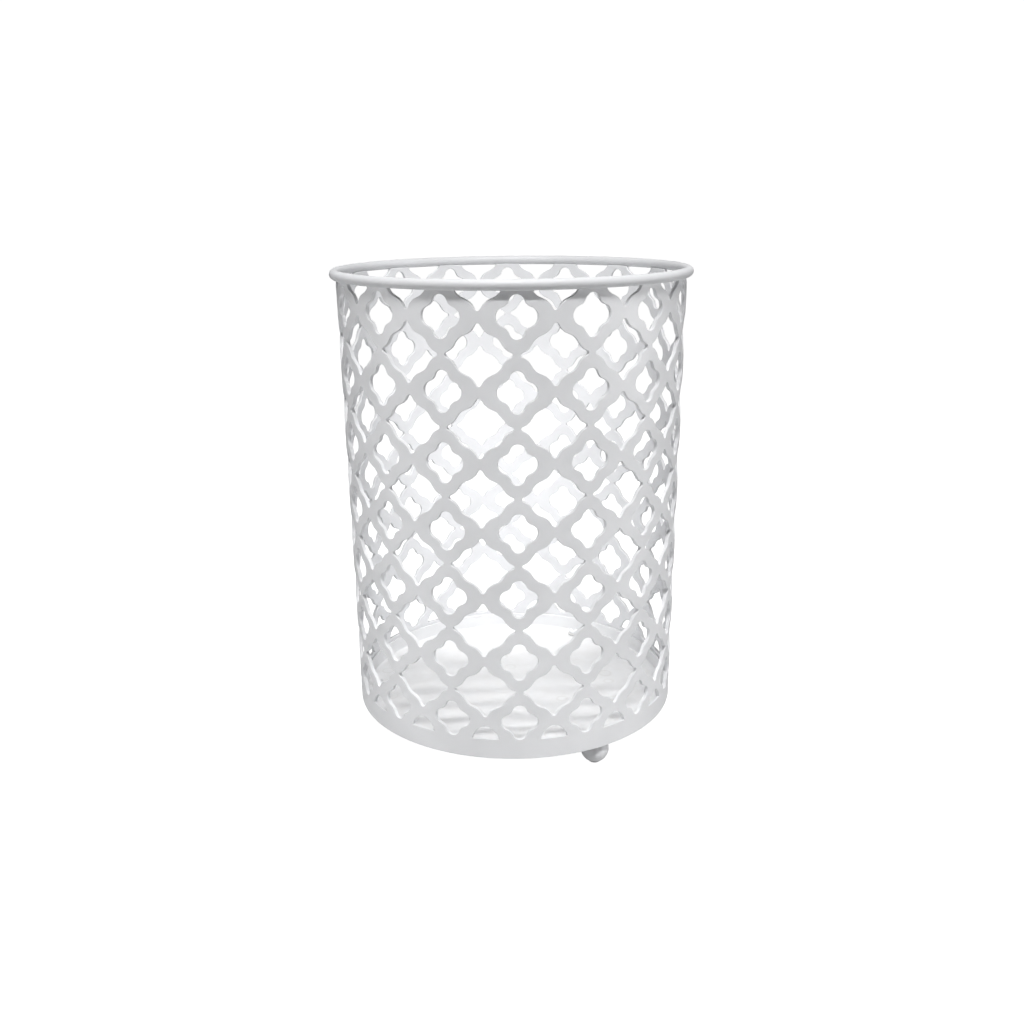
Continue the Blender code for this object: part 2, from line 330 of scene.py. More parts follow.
def add_ring(bm, column, row):
    """Add one ring of the lattice."""
    upper, lower = ring_quadrant(), ring_quadrant()
    if row == ROWS - 1:
        upper = cut_level(upper, TAB_TOP)
    if row == 0:
        lower = band_quadrant()
    z = FIRST_ROW_Z + row * ROW_PITCH
    hole = [(u, z + v) for u, v in whole_loop(hole_quadrant(), hole_quadrant())]
    outside = [(u, z + v) for u, v in whole_loop(upper, lower)]
    add_strip(bm, column, hole, outside, closed=True)


def add_band(bm, column):
    """Add one column's share of the plain band, and the floors of its two half arches."""
    line = [u for u, v in band_quadrant() if v > HOLE_HALF_HEIGHT + BAND_SHOULDER / 2]
    foot = HALF_COLUMN - ARCH_HALF_WIDTH
    floor = [foot + ARCH_HALF_WIDTH * i / ARCH_FLOOR_STEPS for i in range(ARCH_FLOOR_STEPS + 1)]
    top, shoulder = SHELL_BOTTOM + BAND_HEIGHT, SHELL_BOTTOM + BAND_HEIGHT - BAND_SHOULDER
    right = line[::-1] + floor[1:]
    across = [-u for u in right[:0:-1]] + right
    floor_left = [-u for u in floor[::-1]]
    for stops, low, high in (
        (across, SHELL_BOTTOM, shoulder), (floor, shoulder, top), (floor_left, shoulder, top),
    ):
        lower, upper = [(u, low) for u in stops[::-1]], [(u, high) for u in stops[::-1]]
        add_strip(bm, column, lower, upper, closed=False)


shell_bm = bmesh.new()
for column in range(COLUMNS):
    add_band(shell_bm, column)
    for row in range(ROWS):
        add_ring(shell_bm, column, row)
bmesh.ops.remove_doubles(shell_bm, verts=shell_bm.verts, dist=SAME_POINT)
lattice = new_piece("pierced_lattice", shell_bm, "shell_paint", "lattice_shell")

# %% Thickness and rounded edges
EDGE_ROUND = 0.5 * MM
CUT_EDGE = math.radians(50)                 # edges sharper than this are rounded

thicken = lattice.modifiers.new("sheet thickness", "SOLIDIFY")
thicken.thickness = SHEET
thicken.offset = -1.0
soften = lattice.modifiers.new("rounded edges", "BEVEL")
soften.width = EDGE_ROUND
soften.segments = 2
soften.limit_method = "ANGLE"
soften.angle_limit = CUT_EDGE
soften.harden_normals = True
lattice.data.shade_smooth()
fine_mesh(lattice)

# %% [markdown]
# ## Rounding the corners of a turned section
# The wire, pan, feet, screws, washers and pads are all round pieces, made by spinning a section
# about an axis. Real sections have no knife edges, so `rounded` replaces a corner by an arc of
# the given radius: the arc's centre lies on the corner's bisector.

# %% Turned pieces
CORNER_STEPS = 4
SMALL_SEGMENTS = 48                         # round a ball, a screw head, a seal or a pad


def rounded(points, radii):
    """Round the corners of an open line of (radius, height) points; a radius of 0 stays sharp."""
    made = []
    for i, (point, radius) in enumerate(zip(points, radii)):
        here = Vector(point)
        if radius == 0.0:
            made.append(here)
            continue
        back = (Vector(points[i - 1]) - here).normalized()
        ahead = (Vector(points[(i + 1) % len(points)]) - here).normalized()
        half = back.angle(ahead) / 2
        centre = here + (back + ahead).normalized() * radius / math.sin(half)
        start = heading(centre, here + back * radius / math.tan(half))
        end = short_way(start, heading(centre, here + ahead * radius / math.tan(half)))
        made += [Vector(p) for p in arc(centre, radius, start, end, CORNER_STEPS)]
    return made


def turned(profile, segments, centre=(0.0, 0.0, 0.0)):
    """Spin a section about the vertical through a point. It is closed, or it ends on the axis."""
    bm = bmesh.new()
    verts = [bm.verts.new((r, 0.0, z)) for r, z in profile]
    edges = [bm.edges.new(pair) for pair in zip(verts, verts[1:])]
    if profile[0][0] > 0.0:
        edges.append(bm.edges.new((verts[-1], verts[0])))
    bmesh.ops.spin(
        bm, geom=verts + edges, cent=(0, 0, 0), axis=(0, 0, 1),
        angle=math.tau, steps=segments, use_merge=True,
    )
    bmesh.ops.remove_doubles(bm, verts=bm.verts, dist=SAME_POINT / 10)
    bmesh.ops.recalc_face_normals(bm, faces=bm.faces)
    bmesh.ops.translate(bm, verts=bm.verts, vec=centre)
    return bm


# %% [markdown]
# ## The wire ring
# The rim is one length of round wire, bent into a hoop and butt-welded. The joint is ground, but
# it leaves the wire a touch thicker for a few millimetres. It is put at the back, a little off
# the axis, where a maker would hide it.

# %% Bend the rim
RIM_SEGMENTS = 256
WIRE_SEGMENTS = 24
JOINT_TURN = math.radians(160)
JOINT_LENGTH = 5.0 * MM
JOINT_SWELL = 0.14 * MM

rim_bm = bmesh.new()
hoops = []
for i in range(RIM_SEGMENTS):
    turn = math.tau * i / RIM_SEGMENTS
    from_joint = math.remainder(turn - JOINT_TURN, math.tau) * RIM_RADIUS
    swell = JOINT_SWELL * math.exp(-(from_joint / JOINT_LENGTH) ** 2)
    hoop = []
    for j in range(WIRE_SEGMENTS):
        lean = math.tau * j / WIRE_SEGMENTS
        thick = WIRE_RADIUS + swell * max(0.0, -math.cos(lean))
        reach = RIM_RADIUS + thick * math.cos(lean)
        hoop.append(rim_bm.verts.new((
            reach * math.sin(turn), -reach * math.cos(turn), RIM_Z + thick * math.sin(lean),
        )))
    hoops.append(hoop)
for i, hoop in enumerate(hoops):
    ahead = hoops[(i + 1) % RIM_SEGMENTS]
    for j in range(WIRE_SEGMENTS):
        k = (j + 1) % WIRE_SEGMENTS
        rim_bm.faces.new((hoop[j], ahead[j], ahead[k], hoop[k]))
bmesh.ops.recalc_face_normals(rim_bm, faces=rim_bm.faces)
new_piece("rim_wire", rim_bm, "rim_paint", "rim_ring")

# %% [markdown]
# ## Weld beads
# A welder joins each tab to the wire from the inside, so that no bead shows from the front. A
# bead is a row of overlapping puddles. It can be sculpted, but a tube whose radius pulses along
# its path and tapers at both ends gives the same ripples from a few numbers. At the back, a
# second set of flat beads closes the necks and the band where the rolled sheet meets itself.

# %% Bead helper
BEAD_SIDES = 8
PUDDLE = 1.6 * MM                           # distance from one ripple to the next
RIPPLE = 0.12                               # share of the bead's radius
BEAD_TIP = 0.05                             # how thin its ends are
BEAD_TAPER = 0.4                            # smaller is blunter


def add_bead(bm, path, radius, flatten, outward):
    """Add one tapered, rippled bead along a list of points; flatten squeezes it outwards."""
    rings = []
    length = sum((b - a).length for a, b in zip(path, path[1:]))
    for i, point in enumerate(path):
        ahead = (path[min(i + 1, len(path) - 1)] - path[max(i - 1, 0)]).normalized()
        out = outward(point)
        side = ahead.cross(out).normalized()
        share = i / (len(path) - 1)
        ripple = 1.0 + RIPPLE * math.cos(math.tau * share * length / PUDDLE)
        size = radius * ripple * max(BEAD_TIP, math.sin(math.pi * share)) ** BEAD_TAPER
        rings.append([
            bm.verts.new(point + size * (
                side * math.cos(math.tau * j / BEAD_SIDES)
                + out * flatten * math.sin(math.tau * j / BEAD_SIDES)
            ))
            for j in range(BEAD_SIDES)
        ])
    for a, b in zip(rings, rings[1:]):
        for j in range(BEAD_SIDES):
            k = (j + 1) % BEAD_SIDES
            bm.faces.new((a[j], b[j], b[k], a[k]))
    bm.faces.new(rings[0][::-1])
    bm.faces.new(rings[-1])


def radial(point):
    """Direction straight out from the stand's axis."""
    return Vector((point.x, point.y, 0.0)).normalized()


# %% Beads under the rim
BEAD_RADIUS = 0.8 * MM
BEAD_HALF_LENGTH = 8.5 * MM
BEAD_POINTS = 45
BEAD_INSET = 1.0 * MM                       # from the sheet's inner face into the sheet
BEAD_DROP = 3.9 * MM                        # below the wire's centre

rim_weld_bm = bmesh.new()
for column in range(COLUMNS):
    path = []
    for i in range(BEAD_POINTS):
        across = BEAD_HALF_LENGTH * (2 * i / (BEAD_POINTS - 1) - 1)
        turn = math.tau * column / COLUMNS + across / SHELL_RADIUS
        reach = SHELL_RADIUS - SHEET + BEAD_INSET
        path.append(Vector((reach * math.sin(turn), -reach * math.cos(turn), RIM_Z - BEAD_DROP)))
    add_bead(rim_weld_bm, path, BEAD_RADIUS, 1.0, radial)
bmesh.ops.recalc_face_normals(rim_weld_bm, faces=rim_weld_bm.faces)
new_piece("rim_weld_beads", rim_weld_bm, "shell_paint")

# %% Seam at the back
SEAM_COLUMN = COLUMNS / 2 + 0.5             # the sheet's ends meet between two columns
SEAM_BEAD = 1.5 * MM
SEAM_FLATTEN = 0.22
SEAM_STEP = 0.4 * MM
NECK_HALF_HEIGHT = ring_quadrant()[1][1]

seam_spans = [(SHELL_BOTTOM + EDGE_ROUND, SHELL_BOTTOM + BAND_HEIGHT - EDGE_ROUND)]
for row in range(ROWS):
    z = FIRST_ROW_Z + row * ROW_PITCH
    seam_spans.append((z - NECK_HALF_HEIGHT + EDGE_ROUND, z + NECK_HALF_HEIGHT - EDGE_ROUND))
seam_bm = bmesh.new()
for low, high in seam_spans:
    count = round((high - low) / SEAM_STEP)
    stops = [low + (high - low) * i / count for i in range(count + 1)]
    path = [Vector(rolled(SEAM_COLUMN, 0.0, z)) for z in stops]
    add_bead(seam_bm, path, SEAM_BEAD, SEAM_FLATTEN, radial)
bmesh.ops.recalc_face_normals(seam_bm, faces=seam_bm.faces)
new_piece("back_seam_bead", seam_bm, "shell_paint")

# %% [markdown]
# ## The drip pan
# A disc of thinner sheet, pressed so that its edge turns up inside the band. It is spun from its
# section, with round corners at the bend and at the top edge, and drilled for the three screws.

# %% Press the pan
PAN_SHEET = 1.5 * MM
PAN_BEND = 2.5 * MM
PAN_SEGMENTS = 192
PAN_EDGE = 0.6 * MM
PAN_RINGS = (0.85, 0.55, 0.3)               # extra rings in the floor, as shares of its radius

pan_height = PAN_HIGH.z - PAN_LOW.z
pan_section = [
    (0.0, 0.0), (PAN_RADIUS, 0.0), (PAN_RADIUS, pan_height), (PAN_RADIUS - PAN_SHEET, pan_height),
    (PAN_RADIUS - PAN_SHEET, PAN_SHEET), (0.0, PAN_SHEET),
]
pan_radii = [0.0, PAN_BEND, PAN_EDGE, PAN_EDGE, PAN_BEND - PAN_SHEET, 0.0]
pan_profile = rounded(pan_section, pan_radii)
for share in PAN_RINGS:
    pan_profile.insert(1, Vector((PAN_RADIUS * share, 0.0)))
    pan_profile.insert(-1, Vector((PAN_RADIUS * share, PAN_SHEET)))
pan_bm = turned(pan_profile, PAN_SEGMENTS, (0, 0, PAN_LOW.z))
pan = new_piece("drip_pan", pan_bm, "pan_paint", "base_pan")

# %% Drill the pan
FEET = (1, 2, 3)
SCREW_HOLE = 2.8 * MM                       # radius of the hole for a screw
DRILL_SEGMENTS = 24


def foot_centre(number):
    """Where the axis of a foot meets the ground."""
    low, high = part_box(f"ball_foot_{number}")
    return Vector(((low.x + high.x) / 2, (low.y + high.y) / 2, 0.0))


def cut_with(piece, tool):
    """Cut a tool's shape out of a piece, with a modifier that is applied later."""
    cut = piece.modifiers.new(tool.name, "BOOLEAN")
    cut.operation = "DIFFERENCE"
    cut.solver = "EXACT"
    cut.object = tool
    return cut


low_end, high_end = -PAN_SHEET, 2 * PAN_SHEET
drill_section = [(0.0, low_end), (SCREW_HOLE, low_end), (SCREW_HOLE, high_end), (0.0, high_end)]
drills = []
for number in FEET:
    drill_bm = turned(drill_section, DRILL_SEGMENTS, foot_centre(number) + Vector((0, 0, PAN_LOW.z)))
    drills.append(object_from(f"drill_{number}", drill_bm))
    cut_with(pan, drills[-1])
fine_mesh(pan)
for drill in drills:
    bpy.data.objects.remove(drill, do_unlink=True)

# %% [markdown]
# ## The ball feet
# Each foot is a steel ball with a broad flat on top, which carries the pan, a smaller flat below
# for the pad, and a tapped hole from above. The flats' edges are broken, as a lathe leaves them.

# %% Turn the balls
BALL_RADIUS = 12.0 * MM
BALL_SEAT = 8.5 * MM                        # radius of the flat on top
FLAT_BREAK = 0.8 * MM                       # how far round the ball an edge is broken
BREAK_DROP = 0.1 * MM
BALL_STEPS = 26
HOLE_DEPTH = 11.5 * MM
BALL_ABOVE = math.sqrt(BALL_RADIUS ** 2 - BALL_SEAT ** 2)   # from the centre up to the flat

ball_low, ball_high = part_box("ball_foot_1")
BALL_Z = ball_high.z - BALL_ABOVE
BALL_BELOW = BALL_Z - ball_low.z
seat_turn, sole_turn = math.asin(BALL_ABOVE / BALL_RADIUS), math.asin(BALL_BELOW / BALL_RADIUS)
sole_radius = BALL_RADIUS * math.cos(sole_turn)
break_turn = FLAT_BREAK / BALL_RADIUS
ball_section = [
    (0.0, -BALL_BELOW), (sole_radius - FLAT_BREAK / 2, -BALL_BELOW),
    (sole_radius, BREAK_DROP - BALL_BELOW),
]
ball_section += arc((0.0, 0.0), BALL_RADIUS, break_turn - sole_turn, seat_turn - break_turn, BALL_STEPS)
ball_section += [
    (BALL_SEAT, BALL_ABOVE - BREAK_DROP), (BALL_SEAT - FLAT_BREAK / 2, BALL_ABOVE),
    (SCREW_HOLE, BALL_ABOVE), (SCREW_HOLE, BALL_ABOVE - HOLE_DEPTH), (0.0, BALL_ABOVE - HOLE_DEPTH),
]
for number in FEET:
    ball_bm = turned(ball_section, SMALL_SEGMENTS, foot_centre(number) + Vector((0, 0, BALL_Z)))
    new_piece(f"ball_{number}", ball_bm, "foot_paint", f"ball_foot_{number}")

# %% [markdown]
# ## The screws
# Pan-head machine screws with a cross recess. The head is turned. The thread is a true helix:
# every vertex of a plain grid moves in or out by where it stands along the spiral. A section
# swept along a helix would also do, but it runs into itself at the core.

# %% Head and thread
SCREW_RADIUS = 2.5 * MM
THREAD_PITCH = 0.8 * MM
THREAD_DEPTH = 0.42 * MM
THREAD_SIDES = 24
THREAD_ROWS_PER_PITCH = 6
HEAD_RADIUS = 4.75 * MM
HEAD_HEIGHT = 3.2 * MM
HEAD_EDGE = 0.25 * MM                       # radius of the edge that sits on the washer
HEAD_DOME = 2.2 * MM                        # radius of the shoulder above


def screw_head(centre, seat):
    """A domed head whose underside is at the height of its seat."""
    dome = rounded(
        [(0.0, 0.0), (HEAD_RADIUS, 0.0), (HEAD_RADIUS, HEAD_HEIGHT), (0.0, HEAD_HEIGHT)],
        [0.0, HEAD_EDGE, HEAD_DOME, 0.0],
    )
    return turned(dome, SMALL_SEGMENTS, centre + Vector((0, 0, seat)))


def add_thread(bm, centre, low, seat):
    """Add the threaded shank, as a closed body that ends under the head."""
    rows = round((seat - low) / THREAD_PITCH * THREAD_ROWS_PER_PITCH)
    rings = []
    for i in range(rows + 1):
        z = low + (seat - low) * i / rows
        tip = min(1.0, (z - low) / THREAD_PITCH)
        ring = []
        for j in range(THREAD_SIDES):
            phase = (z / THREAD_PITCH - j / THREAD_SIDES) % 1.0
            reach = SCREW_RADIUS - THREAD_DEPTH * (1.0 - tip * (1.0 - abs(2 * phase - 1)))
            turn = math.tau * j / THREAD_SIDES
            place = Vector((reach * math.cos(turn), reach * math.sin(turn), z))
            ring.append(bm.verts.new(centre + place))
        rings.append(ring)
    for a, b in zip(rings, rings[1:]):
        for j in range(THREAD_SIDES):
            k = (j + 1) % THREAD_SIDES
            bm.faces.new((a[j], a[k], b[k], b[j]))
    bm.faces.new(rings[0][::-1])
    bm.faces.new(rings[-1])


screws = {}
for number in FEET:
    low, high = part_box(f"foot_screw_{number}")
    seat = high.z - HEAD_HEIGHT
    screw_bm = screw_head(foot_centre(number), seat)
    add_thread(screw_bm, foot_centre(number), low.z, seat)
    node = f"foot_screw_{number}"
    screws[number] = new_piece(f"screw_{number}", screw_bm, "screw_enamel", node)

# %% [markdown]
# The recess is cut with a tapered cross, two bars at a right angle, which leaves the crisp edges
# that catch the light. Each screw stops turning when it is tight, so no two crosses line up.

# %% Cross recess
RECESS_REACH = 2.7 * MM
RECESS_WIDTH = 0.95 * MM
RECESS_DEPTH = 1.9 * MM
RECESS_TAPER = 0.45                         # how much smaller the cross is at its far end
FIRST_STOP = 25                             # degrees
STOP_STEP = 47                              # degrees from one screw to the next


def cross_bmesh(number, spin):
    """A tapered cross in the head of a screw."""
    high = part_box(f"foot_screw_{number}")[1]
    bm = bmesh.new()
    for turn in (spin, spin + math.pi / 2):
        bar = bmesh.ops.create_cube(bm, size=1.0)["verts"]
        for v in bar:
            narrow = 1.0 if v.co.z > 0 else RECESS_TAPER
            v.co = Vector((
                v.co.x * 2 * RECESS_REACH * narrow, v.co.y * RECESS_WIDTH * (1 + narrow) / 2,
                v.co.z * 2 * RECESS_DEPTH,
            ))
        bmesh.ops.rotate(bm, verts=bar, cent=(0, 0, 0), matrix=Matrix.Rotation(turn, 3, "Z"))
    bmesh.ops.translate(bm, verts=bm.verts, vec=foot_centre(number) + Vector((0, 0, high.z)))
    return bm


for number, screw in screws.items():
    spin = math.radians(FIRST_STOP + STOP_STEP * number)
    cross = object_from(f"cross_{number}", cross_bmesh(number, spin))
    cut_with(screw, cross).use_self = True
    fine_mesh(screw)
    screw.data.set_sharp_from_angle(angle=SHARP_ANGLE)
    bpy.data.objects.remove(cross, do_unlink=True)

# %% [markdown]
# ## Seals and pads
# A rubber washer under each screw head keeps drips in the pan. Squeezed rubber bulges, so its
# section has a round outer edge. The pads under the balls have a broken edge and three shallow
# rings in the sole, which grip a smooth floor.

# %% Mould the seals
SEAL_BORE_EDGE = 0.15 * MM
SEAL_BULGE = 0.55 * MM


def edge_and_thickness(node):
    """Radius and thickness of a flat round CAD piece."""
    low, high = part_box(node)
    return (high.x - low.x) / 2, high.z - low.z


def seal_bmesh(number):
    """A washer with a round outer edge."""
    edge, thick = edge_and_thickness(f"sealing_washer_{number}")
    section = [(SCREW_HOLE, 0.0), (edge, 0.0), (edge, thick), (SCREW_HOLE, thick)]
    section = rounded(section, [SEAL_BORE_EDGE, SEAL_BULGE, SEAL_BULGE, SEAL_BORE_EDGE])
    lift = Vector((0, 0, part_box(f"sealing_washer_{number}")[0].z))
    return turned(section, SMALL_SEGMENTS, foot_centre(number) + lift)


# %% Mould the pads
PAD_GROOVES = (1.4 * MM, 2.4 * MM, 3.4 * MM)    # radii of the rings in the sole
GROOVE = 0.25 * MM                          # depth, and half the width
PAD_SOLE_EDGE = 0.4 * MM
PAD_TOP_EDGE = 0.2 * MM


def pad_bmesh(number):
    """A disc with three grooves in its sole."""
    edge, thick = edge_and_thickness(f"foot_pad_{number}")
    section = [(0.0, 0.0)]
    for groove in PAD_GROOVES:
        section += [(groove - GROOVE, 0.0), (groove, GROOVE), (groove + GROOVE, 0.0)]
    radii = [0.0] * len(section) + [PAD_SOLE_EDGE, PAD_TOP_EDGE, 0.0]
    section += [(edge, 0.0), (edge, thick), (0.0, thick)]
    return turned(rounded(section, radii), SMALL_SEGMENTS, foot_centre(number))


for number in FEET:
    new_piece(f"seal_{number}", seal_bmesh(number), "seal_rubber", f"sealing_washer_{number}")
    new_piece(f"pad_{number}", pad_bmesh(number), "pad_rubber", f"foot_pad_{number}")

# %% [markdown]
# ## Shader groups
# Several finishes share the same effects, so each effect is one node group with named inputs and
# outputs. A group gives only values that change over the surface; the shader stays in the
# material. All patterns use object coordinates, which here are metres.

# %% Node helpers
def new_group(name, inputs, outputs):
    """Start a shader group and return it with its input and output nodes."""
    group = bpy.data.node_groups.new(name, "ShaderNodeTree")
    for label, default in inputs:
        socket = group.interface.new_socket(label, in_out="INPUT", socket_type="NodeSocketFloat")
        socket.default_value = default
    for label in outputs:
        group.interface.new_socket(label, in_out="OUTPUT", socket_type="NodeSocketFloat")
    return group, group.nodes.new("NodeGroupInput"), group.nodes.new("NodeGroupOutput")


def math_node(tree, operation, *values):
    """Add a Math node; each value is a number or a socket."""
    node = tree.nodes.new("ShaderNodeMath")
    node.operation = operation
    for socket, value in zip(node.inputs, values):
        if isinstance(value, (int, float)):
            socket.default_value = value
        else:
            tree.links.new(value, socket)
    return node.outputs[0]


def noise(tree, coordinates, scale, detail=2.0, roughness=0.5):
    """Add a Noise texture; the scale is a number or a socket."""
    node = tree.nodes.new("ShaderNodeTexNoise")
    tree.links.new(coordinates, node.inputs["Vector"])
    if isinstance(scale, (int, float)):
        node.inputs["Scale"].default_value = scale
    else:
        tree.links.new(scale, node.inputs["Scale"])
    node.inputs["Detail"].default_value = detail
    node.inputs["Roughness"].default_value = roughness
    return node.outputs[0]


def spread(tree, value, low, high, to_low=0.0, to_high=1.0):
    """Map a range of a value smoothly onto another range."""
    node = tree.nodes.new("ShaderNodeMapRange")
    node.interpolation_type = "SMOOTHSTEP"
    tree.links.new(value, node.inputs["Value"])
    ends = {"From Min": low, "From Max": high, "To Min": to_low, "To Max": to_high}
    for label, number in ends.items():
        node.inputs[label].default_value = number
    return node.outputs["Result"]


# %% [markdown]
# ### Powder coat skin
# Baked powder flows into a fine orange peel, about a millimetre from hump to hump, over a slower
# swell. The film is nowhere equally thick either, so tone and gloss drift a little.

# %% Group: powder coat skin
PEEL_HUMPS = 800.0                          # per metre
SWELL_SHARE = 0.22                          # humps of the swell for each hump of the peel
SWELL_HEIGHT = 1.6                          # its height, beside a peel of 1
TONE_PATCHES = 14.0                         # per metre
GLOSS_PATCHES = 55.0

skin, skin_in, skin_out = new_group(
    "powder coat skin", [("Humps per Metre", PEEL_HUMPS)], ["Height", "Tone", "Gloss"])
place = skin.nodes.new("ShaderNodeTexCoord").outputs["Object"]
humps = skin_in.outputs["Humps per Metre"]
peel = noise(skin, place, humps, 1.0, 0.4)
swell = noise(skin, place, math_node(skin, "MULTIPLY", humps, SWELL_SHARE), 1.0)
height = math_node(skin, "MULTIPLY_ADD", swell, SWELL_HEIGHT, peel)
tone = spread(skin, noise(skin, place, TONE_PATCHES, 3.0), 0.3, 0.7)
gloss = spread(skin, noise(skin, place, GLOSS_PATCHES, 3.0, 0.6), 0.3, 0.7)
for label, value in (("Height", height), ("Tone", tone), ("Gloss", gloss)):
    skin.links.new(value, skin_out.inputs[label])
print("group:", skin.name)

# %% [markdown]
# ### Thin coat on edges, and painted shade in creases
# Powder pulls back from outside corners, so the steel shows through as a slightly greyer line.
# Pointiness is high on outside corners, which makes a mask that needs no painting. Where it is
# low, in inside corners and creases, the same greyer tone is laid on as painted shade.

# %% Group: thin coat on edges, painted shade in creases
BREAKUP = 160.0                             # per metre

edges, edges_in, edges_out = new_group(
    "thin edges and crease shade", [("Breakup per Metre", BREAKUP)], ["Edge", "Crease Shade"])
shape = edges.nodes.new("ShaderNodeNewGeometry")
place = edges.nodes.new("ShaderNodeTexCoord").outputs["Object"]
ragged = noise(edges, place, edges_in.outputs["Breakup per Metre"], 3.0, 0.6)
convex = spread(edges, shape.outputs["Pointiness"], 0.53, 0.62)
# Low pointiness marks inside corners and creases; this mask is painted shade, not a thinner coat.
crease_shade = spread(edges, shape.outputs["Pointiness"], 0.47, 0.42)
worn = math_node(edges, "MULTIPLY", convex, spread(edges, ragged, 0.35, 0.6, 0.35, 1.0))
edges.links.new(worn, edges_out.inputs["Edge"])
edges.links.new(crease_shade, edges_out.inputs["Crease Shade"])
print("group:", edges.name)

# %% [markdown]
# ### Settled dust
# House dust lies on whatever faces up and leaves the rest alone. The mask is the upward part of
# the surface normal, broken up by a soft noise and a fine one.

# %% Group: settled dust
DUST_PATCHES = 60.0                         # per metre
DUST_SPECKS = 2600.0

dust, dust_in, dust_out = new_group("settled dust", [("Patches per Metre", DUST_PATCHES)], ["Dust"])
shape = dust.nodes.new("ShaderNodeNewGeometry")
split = dust.nodes.new("ShaderNodeSeparateXYZ")
dust.links.new(shape.outputs["Normal"], split.inputs[0])
place = dust.nodes.new("ShaderNodeTexCoord").outputs["Object"]
patches = noise(dust, place, dust_in.outputs["Patches per Metre"], 4.0, 0.6)
patches = spread(dust, patches, 0.35, 0.7, 0.25, 1.0)
specks = spread(dust, noise(dust, place, DUST_SPECKS, 2.0, 0.7), 0.42, 0.68, 0.5, 1.0)
upward = spread(dust, split.outputs["Z"], 0.35, 0.95)
lying = math_node(dust, "MULTIPLY", math_node(dust, "MULTIPLY", patches, specks), upward)
dust.links.new(lying, dust_out.inputs["Dust"])
print("group:", dust.name)

# %% [markdown]
# ## Finishes
# A material here is one Principled shader with its fixed numbers typed on its own sockets, and
# the groups feeding what changes over the surface: colour, roughness and bump height.

# %% Material helpers
def new_material(name, colour, roughness):
    """A new material and its Principled shader."""
    made = bpy.data.materials.new(name)
    made.use_nodes = True
    shader = made.node_tree.nodes["Principled BSDF"]
    shader.inputs["Base Color"].default_value = (*colour, 1.0)
    shader.inputs["Roughness"].default_value = roughness
    return made, made.node_tree, shader


def place_group(tree, group, **values):
    """Place a shader group in a material with its own values."""
    node = tree.nodes.new("ShaderNodeGroup")
    node.node_tree = group
    for label, value in values.items():
        node.inputs[label.replace("_", " ")].default_value = value
    return node


def blend_colour(tree, share, under, over):
    """Mix two colours by a mask; under may be a socket."""
    node = tree.nodes.new("ShaderNodeMix")
    node.data_type = "RGBA"
    tree.links.new(share, node.inputs["Factor"])
    for socket, value in ((node.inputs[6], under), (node.inputs[7], over)):
        if isinstance(value, tuple):
            socket.default_value = (*value, 1.0)
        else:
            tree.links.new(value, socket)
    return node.outputs[2]


def add_bump(tree, shader, height, distance, strength):
    """Drive the shader's normal from a height; the distance is in metres."""
    node = tree.nodes.new("ShaderNodeBump")
    node.inputs["Distance"].default_value = distance
    node.inputs["Strength"].default_value = strength
    tree.links.new(height, node.inputs["Height"])
    tree.links.new(node.outputs["Normal"], shader.inputs["Normal"])


def share_of(tree, mask, share):
    """A mask turned down to a share of itself."""
    return math_node(tree, "MULTIPLY", mask, share)


def vary_roughness(tree, mask, middle, swing):
    """A roughness that swings about its middle value with a mask."""
    return math_node(tree, "MULTIPLY_ADD", mask, swing, middle - swing / 2)


# %% Powder-coated steel
DUST_COLOUR = (0.62, 0.60, 0.57)
LIGHTER, DARKER = 1.03, 0.955               # how far the paint's tone drifts
THIN_COAT = 0.80                            # tone where the coat is thin, and of the painted shade in inside corners
EDGE_SHOW, CREASE_SHADE_SHOW = 0.5, 0.3           # how much of the thin tone shows on edges, and how strong the painted shade in creases is
GLOSS_SWING = 0.12
DUST_DULLS = 0.3                            # roughness that full dust adds


def powder_coat(name, colour, roughness, dust_share, peel_depth):
    """White powder coat over steel."""
    made, tree, shader = new_material(name, colour, roughness)
    shader.inputs["IOR"].default_value = 1.5
    surface = place_group(tree, skin, Humps_per_Metre=PEEL_HUMPS)
    lines = place_group(tree, edges)
    settled = place_group(tree, dust).outputs["Dust"]
    lighter, darker, thin = (
        tuple(c * factor for c in colour) for factor in (LIGHTER, DARKER, THIN_COAT)
    )
    paint = blend_colour(tree, surface.outputs["Tone"], darker, lighter)
    for mask, share, over in (
        # The second mask lays the greyer tone into inside corners and creases as painted shade.
        (lines.outputs["Edge"], EDGE_SHOW, thin), (lines.outputs["Crease Shade"], CREASE_SHADE_SHOW, thin),
        (settled, dust_share, DUST_COLOUR),
    ):
        paint = blend_colour(tree, share_of(tree, mask, share), paint, over)
    tree.links.new(paint, shader.inputs["Base Color"])
    gloss = vary_roughness(tree, surface.outputs["Gloss"], roughness, GLOSS_SWING)
    gloss = math_node(tree, "MULTIPLY_ADD", settled, DUST_DULLS, gloss)
    tree.links.new(gloss, shader.inputs["Roughness"])
    add_bump(tree, shader, surface.outputs["Height"], peel_depth, 0.5)
    return made


shell_paint = powder_coat("shell powder coat", (0.76, 0.765, 0.78), 0.42, 0.18, 0.05 * MM)
# The rim wears the same white powder as the shell; its darker colour is painted shade, which holds down
# the light on its brightly lit top.
rim_paint = powder_coat("rim powder coat darkened as shade", (0.67, 0.675, 0.69), 0.50, 0.12, 0.04 * MM)
foot_paint = powder_coat("foot powder coat", (0.72, 0.725, 0.74), 0.36, 0.10, 0.04 * MM)
print("paints:", shell_paint.name, rim_paint.name, foot_paint.name)

# %% [markdown]
# ### The pan's finish
# The pan wears the same powder, but wet umbrellas drip on it. Each dried drop leaves a faint
# ring. A Voronoi texture gives scattered cells, and the ring is the zone at one distance from
# each cell's point; a noise keeps only some of them.

# %% Pan paint with drip marks
DROPS_PER_METRE = 45.0
DRIP_COLOUR = (0.55, 0.53, 0.50)
DRIP_SHOW = 0.22

